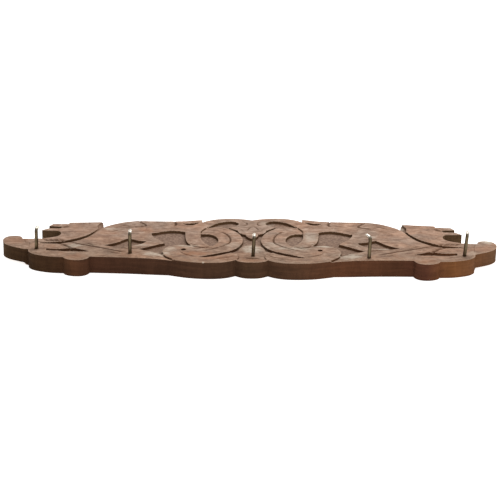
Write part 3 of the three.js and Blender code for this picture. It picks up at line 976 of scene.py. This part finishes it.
# Grain, ground and back: how light the noise is, and the colour there
FRONT_GRAIN = (
    (0.36, (0.155, 0.088, 0.057)),
    (0.50, (0.245, 0.150, 0.102)),
    (0.66, (0.365, 0.245, 0.180)),
)
GROUND_SPECKLE = (
    (0.36, (0.105, 0.060, 0.040)),
    (0.50, (0.160, 0.096, 0.066)),
    (0.66, (0.255, 0.165, 0.118)),
)
BACK_GRAIN = ((0.36, (0.16, 0.1, 0.06)), (0.66, (0.3, 0.2, 0.125)))
BLOTCH_SHADES = ((0.35, (0.84, 0.84, 0.84)), (0.65, (1.16, 1.16, 1.16)))
SAW_SHADES = ((0.36, (0.76, 0.76, 0.76)), (0.64, (1.26, 1.26, 1.26)))
WARM_TINT = (1.06, 0.98, 0.93)
COOL_TINT = (0.96, 1.01, 1.05)
# painted light: the front is lighter and cooler towards its far side
NEAR_PAINTED_LIGHT = (1.12, 1.12, 1.09)
FAR_PAINTED_LIGHT = (1.27, 1.32, 1.36)
DARK_PIT = (0.105, 0.058, 0.036)
PALE_FLECK = (0.440, 0.320, 0.240)
WARM_PATCH_COLOUR = (0.300, 0.135, 0.070)
RUBBED_AND_HIGHLIT_WOOD = (0.470, 0.340, 0.250)
FRONT_DUST_AND_HIGHLIGHT = (0.540, 0.470, 0.380)
EDGE_DUST_AND_HIGHLIGHT = (0.400, 0.330, 0.250)
# painted shade in creases, grooves, eye holes, round the hooks and along the foot of walls
CREASE_SHADE = (0.110, 0.053, 0.025)
# painted light: a lighter colour on the notch walls that face the front, where little light reaches them
NOTCH_WALL_PAINTED_LIGHT = (0.105, 0.062, 0.032)  # the walls of the notches in the upper edge
# Stain and painted shade of the sawn edge along the rack: x in metres and colour
EDGE_STAIN_AND_SHADE = (
    (-0.300, (0.040, 0.021, 0.0095)),
    (-0.232, (0.041, 0.019, 0.0088)),
    (-0.213, (0.070, 0.029, 0.0135)),
    (-0.190, (0.050, 0.0205, 0.011)),
    (-0.100, (0.050, 0.0225, 0.0125)),
    (0.000, (0.053, 0.027, 0.0145)),
    (0.060, (0.066, 0.0305, 0.016)),
    (0.110, (0.082, 0.032, 0.015)),
    (0.180, (0.060, 0.0235, 0.0118)),
    (0.210, (0.069, 0.0255, 0.0145)),
    (0.240, (0.143, 0.057, 0.0205)),
    (0.285, (0.106, 0.049, 0.0235)),
)


def band_colour(s, grain):
    """Stained pine in warm and cool clouds, with dark pits and pale flecks."""
    clouds = s.noise((24, 32, 32), 3.0, 0.5, 0.4)
    blotches = s.noise((55, 95, 95), 3.0, 0.6, 0.6)
    pits = s.noise((100, 170, 170), 5.0, 0.72, 0.8, turn=(0, 0, 0.35))
    colour = s.colours(grain, FRONT_GRAIN)
    colour = s.tinted(colour, s.mix(s.ramp(clouds, 0.38, 0.62), WARM_TINT, COOL_TINT))
    colour = s.tinted(colour, s.colours(blotches, BLOTCH_SHADES))
    colour = s.mix(s.ramp(pits, 0.56, 0.68, 0.0, 0.55), colour, DARK_PIT)
    return s.mix(s.ramp(pits, 0.44, 0.33, 0.0, 0.45), colour, PALE_FLECK)


def edge_colour(s, x, y, facing_y, dust_and_highlight):
    """Dark-stained sawn edges with painted shade, warmer to the right, with layers and saw marks."""
    low, high = EDGE_STAIN_AND_SHADE[0][0], EDGE_STAIN_AND_SHADE[-1][0]
    stops = [((place - low) / (high - low), colour) for place, colour in EDGE_STAIN_AND_SHADE]
    # dark colour of the sawn edges: partly the stained wood, partly painted shade
    edge_stain_and_shade = s.colours(s.ramp(x, low, high), stops)
    # painted light on the walls of the notches in the upper edge that face the front
    lit_notch_walls = s.times(s.ramp(y, -0.03, 0.01), s.ramp(facing_y, 0.3, -0.3))
    edge_stain_and_shade = s.mix(lit_notch_walls, edge_stain_and_shade, NOTCH_WALL_PAINTED_LIGHT)
    layers = s.noise((25, 25, 260), 4.0, 0.6, 0.3)
    saw_marks = s.noise((140, 140, 35), 4.0, 0.65, 0.5)
    edge = s.tinted(edge_stain_and_shade, s.colours(s.blend(layers, saw_marks, 0.6), SAW_SHADES))
    return s.mix(dust_and_highlight, edge, EDGE_DUST_AND_HIGHLIGHT)


def wood():
    """Stained pine: pinkish brown and dusty on the front, stippled in the ground, dark on the sawn edges; it
    carries painted shade in the creases and on the edges, and painted light and highlights on the front.
    """
    s = Shader("carved_wood")
    recess, crease_shade, wear_and_highlight, dust_and_highlight, warm_patch = (s.attribute(name) for name in MEASURES)
    x, y, _ = s.parts(s.place())
    _, facing_y, facing_up = s.parts(s.node("ShaderNodeNewGeometry").outputs["Normal"])
    flecks = s.noise((120, 300, 200), 4.0, 0.65, 0.2)
    grain = s.blend(s.noise((18, 140, 90), 6.0, 0.62, 0.35), flecks, 0.35)
    speckle = s.noise((380, 460, 460))

    ground = s.colours(speckle, GROUND_SPECKLE)
    colour = s.mix(s.times(recess, 0.85), band_colour(s, grain), ground)
    colour = s.mix(s.times(warm_patch, 0.6), colour, WARM_PATCH_COLOUR)
    # painted light: lighter and cooler towards the far side
    colour = s.tinted(colour, s.mix(s.ramp(y, -0.05, 0.01), NEAR_PAINTED_LIGHT, FAR_PAINTED_LIGHT))
    # pale dusty spots, some of them painted highlights
    colour = s.mix(s.times(dust_and_highlight, s.ramp(flecks, 0.36, 0.56, 0.35, 0.95)), colour, FRONT_DUST_AND_HIGHLIGHT)
    # paler rims: partly worn wood, partly painted highlight
    colour = s.mix(s.times(wear_and_highlight, 0.4), colour, RUBBED_AND_HIGHLIT_WOOD)
    # steep faces, the carved walls as well, take the dark edge colour, which is partly painted shade
    steep = s.ramp(s.math("ABSOLUTE", facing_up), 0.75, 0.35)
    colour = s.mix(steep, colour, edge_colour(s, x, y, facing_y, dust_and_highlight))
    # painted shade darkens the creases, grooves, eye holes and wall feet; the dusty and highlighted patches
    # make it paler there
    colour = s.mix(s.times(crease_shade, s.ramp(dust_and_highlight, 0.0, 1.0, 0.88, 0.3)), colour, CREASE_SHADE)
    colour = s.mix(s.ramp(facing_up, -0.6, -0.9), colour, s.colours(grain, BACK_GRAIN))

    height = s.math("ADD", grain, s.times(s.times(speckle, recess), 1.8))
    return s.finish(
        Base_Color=colour,
        Roughness=s.ramp(speckle, 0.3, 0.7, 0.7, 0.88),
        Normal=s.bump(height, 0.55, 0.0005),
        Specular_IOR_Level=s.ramp(steep, 0.0, 1.0, 0.2, 0.04),
    )


def brass():
    """Dull brass wire with brown tarnish; the arm is worn bright and painted pale as a stand-in for its
    highlight.
    """
    s = Shader("brass_wire")
    cloud = s.noise((160, 160, 90), 4.0)
    fine = s.noise((900, 900, 240))
    tarnish = s.colours(cloud, ((0.3, (0.062, 0.043, 0.024)), (0.7, (0.135, 0.103, 0.060))))
    # the arm painted pale: partly worn brass, partly painted highlight
    colour = s.mix(s.attribute("wear_and_highlight"), tarnish, (0.920, 0.840, 0.720))
    rough = s.math("ADD", s.ramp(cloud, 0.3, 0.7, 0.38, 0.24), s.times(fine, 0.08))
    return s.finish(Base_Color=colour, Roughness=rough, Metallic=1.0, Normal=s.bump(fine, 0.2, 0.0002))


def steel():
    """Dull zinc plating with cloudy spangle and fine scratches."""
    s = Shader("plated_steel")
    spangle = s.node("ShaderNodeTexVoronoi", Vector=s.place((260, 260, 260)), Scale=1.0)
    scratches = s.noise((1400, 60, 1400))
    cloud = s.noise((60, 60, 60), 3.0, 0.5)
    grey = s.colours(spangle.outputs["Distance"], ((0.0, (0.36, 0.37, 0.38)), (0.8, (0.6, 0.6, 0.58))))
    colour = s.mix(s.ramp(cloud, 0.5, 0.75, 0.0, 0.4), grey, (0.34, 0.3, 0.25))
    rough = s.ramp(scratches, 0.3, 0.7, 0.32, 0.5)
    return s.finish(Base_Color=colour, Roughness=rough, Metallic=1.0, Normal=s.bump(scratches, 0.15, 0.0001))


def floor_paint():
    """A white sweep that is lit a little from within, so that shadows on it stay faint."""
    s = Shader("pale_floor")
    faint = s.noise((3, 3, 3), 2.0, 0.5)
    colour = s.colours(faint, ((0.0, (0.86, 0.86, 0.86)), (1.0, (0.9, 0.9, 0.9))))
    return s.finish(Base_Color=colour, Roughness=0.9, Emission_Color=(1, 1, 1), Emission_Strength=0.8)


# ---- camera, light and floor ----

# Metres, millimetres for the lens, and watts
ELEVATION = math.radians(23.0)
DISTANCE = 2.3
ROLL = math.radians(0.8)
TARGET = Vector((-0.00124, 0.02, 0.0))
LENS = 134.3
SENSOR = 36.0
WORLD_STRENGTH = 0.5
LIGHTS = {
    "key": {"place": (0.25, 0.75, 1.3), "size": 1.1, "power": 18.0, "colour": (1, 1, 1)},
    "fill": {"place": (0.9, -1.0, 0.7), "size": 0.9, "power": 5.0, "colour": (1.0, 0.93, 0.85)},
}
FLOOR_HALF = 4.0
FLOOR_DROP = 0.0002  # keeps the floor clear of the back


def add_camera():
    """A long lens looking at the rack from its lower edge, a little above it."""
    back = Vector((0, -math.cos(ELEVATION), math.sin(ELEVATION)))
    right = Vector((1, 0, 0))
    level = Matrix((right, back.cross(right), back)).transposed()
    turn = (level @ Matrix.Rotation(ROLL, 3, "Z")).to_4x4()
    data = bpy.data.cameras.new("camera")
    data.lens = LENS
    data.sensor_width = SENSOR
    camera = bpy.data.objects.new("camera", data)
    camera.matrix_world = Matrix.Translation(TARGET + back * DISTANCE) @ turn
    bpy.context.scene.collection.objects.link(camera)
    bpy.context.scene.camera = camera


def add_light(name, place, size, power, colour):
    """A square soft light that faces the rack."""
    data = bpy.data.lights.new(name, "AREA")
    data.size = size
    data.energy = power
    data.color = colour
    light = bpy.data.objects.new(name, data)
    light.location = place
    light.rotation_euler = (Vector(place) * -1).to_track_quat("-Z", "Y").to_euler()
    bpy.context.scene.collection.objects.link(light)


def add_world():
    """An even white surround."""
    world = bpy.data.worlds.new("studio")
    world.use_nodes = True
    background = world.node_tree.nodes["Background"]
    background.inputs["Color"].default_value = (1, 1, 1, 1)
    background.inputs["Strength"].default_value = WORLD_STRENGTH
    bpy.context.scene.world = world


def add_floor_plane():
    """The white ground under the rack."""
    mesh = bpy.data.meshes.new("floor")
    corners = [(FLOOR_HALF * x, FLOOR_HALF * y, 0) for x, y in ((-1, -1), (1, -1), (1, 1), (-1, 1))]
    mesh.from_pydata(corners, [], [(0, 1, 2, 3)])
    floor = bpy.data.objects.new("floor", mesh)
    floor.location.z = -FLOOR_DROP
    mesh.materials.append(floor_paint())
    bpy.context.scene.collection.objects.link(floor)


# ---- the scene ----

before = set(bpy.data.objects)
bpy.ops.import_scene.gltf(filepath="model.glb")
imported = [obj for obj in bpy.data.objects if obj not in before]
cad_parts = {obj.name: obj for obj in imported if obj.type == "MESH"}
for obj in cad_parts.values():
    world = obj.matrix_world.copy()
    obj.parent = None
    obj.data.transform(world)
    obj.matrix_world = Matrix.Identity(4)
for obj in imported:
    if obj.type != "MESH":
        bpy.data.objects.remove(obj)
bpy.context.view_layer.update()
add_camera()

carved_wood = wood()
brass_wire = brass()
plated_steel = steel()

board = build_object("board_carving", board_mesh(), BOARD_SMOOTH_ANGLE)
board.data.materials.append(carved_wood)
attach(board, "root")
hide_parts("carved_board")

for name, hook in HOOKS.items():
    wire = place_hook(name, hook)
    wire.data.materials.append(brass_wire)
    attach(wire, "root")
    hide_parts(name)

for name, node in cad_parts.items():
    if name.startswith("hanger_"):
        for slot in node.material_slots:
            slot.material = plated_steel

add_floor_plane()
add_world()
for name, light in LIGHTS.items():
    add_light(name, **light)
bpy.context.scene.view_settings.view_transform = "Standard"
